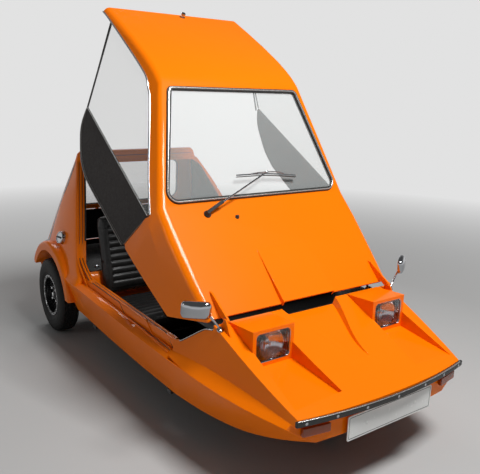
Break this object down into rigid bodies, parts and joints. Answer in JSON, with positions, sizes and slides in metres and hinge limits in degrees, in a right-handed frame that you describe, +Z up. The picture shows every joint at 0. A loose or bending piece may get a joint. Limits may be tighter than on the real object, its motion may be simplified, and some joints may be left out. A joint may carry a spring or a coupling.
{
  "type": "three wheeled car",
  "caption": "Wedge-shaped microcar with one steered front wheel, an open cabin under a tipping one-piece canopy and a rear boot lid.",
  "frame": {"origin": "on the ground, at the middle of the body's length and width", "axes": "+Y points to the tail, +X to the car's left, +Z up"},
  "size_m": [1.397, 2.7938, 2.0797],
  "materials": {
    "body_orange": "gloss",
    "glass_clear": "clear",
    "lamp_glass": "fluted",
    "lamp_silver": "bright",
    "rubber_black": "matt",
    "tyre_black": "matt",
    "wheel_black": "black with a polished lip",
    "vinyl_black": "satin vinyl",
    "skirt_vinyl": "dark brown vinyl",
    "window_sheet": "clear flexible sheet",
    "black_paint": "satin",
    "black_plastic": "grained",
    "chrome": "bright",
    "steel": "machined",
    "cast_iron": "rough",
    "plate_white": "blank",
    "lamp_orange": "translucent",
    "lamp_red": "translucent",
    "floor_mat": "ribbed"
  },
  "bodies": {
    "body": {"nose_body": "body_orange", "side_sills": "body_orange", "tail_body": "body_orange", "lid_hinges": "chrome", "rear_window": "glass_clear", "hinge_brackets": "body_orange", "bumpers": "rubber_black", "front_plate": "plate_white", "front_indicators": "lamp_orange", "tail_lamps": "lamp_red", "headlamp_reflectors": "lamp_silver", "headlamp_lenses": "lamp_glass", "wing_mirrors": "chrome", "fuel_cap": "chrome", "cabin_floor": "floor_mat", "bulkhead": "black_paint", "engine_cover": "vinyl_black", "engine_block": "cast_iron", "dashboard": "black_plastic", "steering_column": "black_plastic", "pedals": "black_paint", "hand_levers": "black_paint", "seat_bases": "black_paint", "seat_cushions": "vinyl_black", "seat_backs": "vinyl_black", "rear_shelf": "vinyl_black", "chassis_frame": "black_paint", "swing_arm": "black_paint", "front_spring_unit": "black_paint", "rear_axle": "black_paint", "propshaft": "steel", "rear_suspension": "black_paint", "exhaust": "steel"},
    "canopy": {"canopy_shell": "body_orange", "windscreen_seal": "rubber_black", "windscreen": "glass_clear", "hinge_blades": "body_orange", "sidescreen_skirts": "skirt_vinyl", "sidescreen_windows": "window_sheet", "sidescreen_rods": "black_paint", "wiper": "chrome"},
    "strut_cylinder": {"strut_cylinder": "black_paint"},
    "strut_rod": {"strut_rod": "steel"},
    "boot_lid": {"boot_lid": "body_orange"},
    "steering_wheel": {"steering_wheel": "black_plastic"},
    "steering_knuckle": {"steering_knuckle": "steel"},
    "front_wheel": {"front_tyre": "tyre_black", "front_rim": "wheel_black"},
    "rear_left_wheel": {"rear_left_tyre": "tyre_black", "rear_left_rim": "wheel_black"},
    "rear_right_wheel": {"rear_right_tyre": "tyre_black", "rear_right_rim": "wheel_black"}
  },
  "joints": [
    {"name": "canopy_hinge", "type": "hinge", "parent": "body", "child": "canopy", "pos_m": [0, -0.85, 0.671], "axis": [1, 0, 0], "range_deg": [-29, 0]},
    {"name": "strut_tilt", "type": "hinge", "parent": "body", "child": "strut_cylinder", "pos_m": [0.48, -0.75, 0.622], "axis": [1, 0, 0], "range_deg": [-34.5, 1.5]},
    {"name": "strut_slide", "type": "slide", "parent": "strut_cylinder", "child": "strut_rod", "axis": [0, 0.603, 0.7977], "range_m": [-0.0525, 0.002]},
    {"name": "boot_lid_hinge", "type": "hinge", "parent": "body", "child": "boot_lid", "pos_m": [0, 1.26399, 0.79373], "axis": [1, 0, 0], "range_deg": [0, 70]},
    {"name": "steer", "type": "hinge", "parent": "body", "child": "steering_knuckle", "pos_m": [0.11, -0.902, 0.252], "axis": [0, 0, 1], "range_deg": [-35, 35]},
    {"name": "steering_wheel_turn", "type": "hinge", "parent": "body", "child": "steering_wheel", "pos_m": [-0.33, -0.25, 0.58], "axis": [0, 0.9397, 0.3419], "range_deg": [-360, 360]},
    {"name": "front_wheel_spin", "type": "hinge", "parent": "steering_knuckle", "child": "front_wheel", "pos_m": [0, -0.902, 0.252], "axis": [1, 0, 0], "continuous": true},
    {"name": "rear_left_wheel_spin", "type": "hinge", "parent": "body", "child": "rear_left_wheel", "pos_m": [0.628, 1.054, 0.252], "axis": [1, 0, 0], "continuous": true},
    {"name": "rear_right_wheel_spin", "type": "hinge", "parent": "body", "child": "rear_right_wheel", "pos_m": [-0.628, 1.054, 0.252], "axis": [1, 0, 0], "continuous": true}
  ],
  "couplings": [
    {"joint": "strut_tilt", "follows": "canopy_hinge", "ratio": 1.15},
    {"joint": "strut_slide", "follows": "canopy_hinge", "m_per_rad": 0.101},
    {"joint": "steering_wheel_turn", "follows": "steer", "ratio": 10}
  ]
}
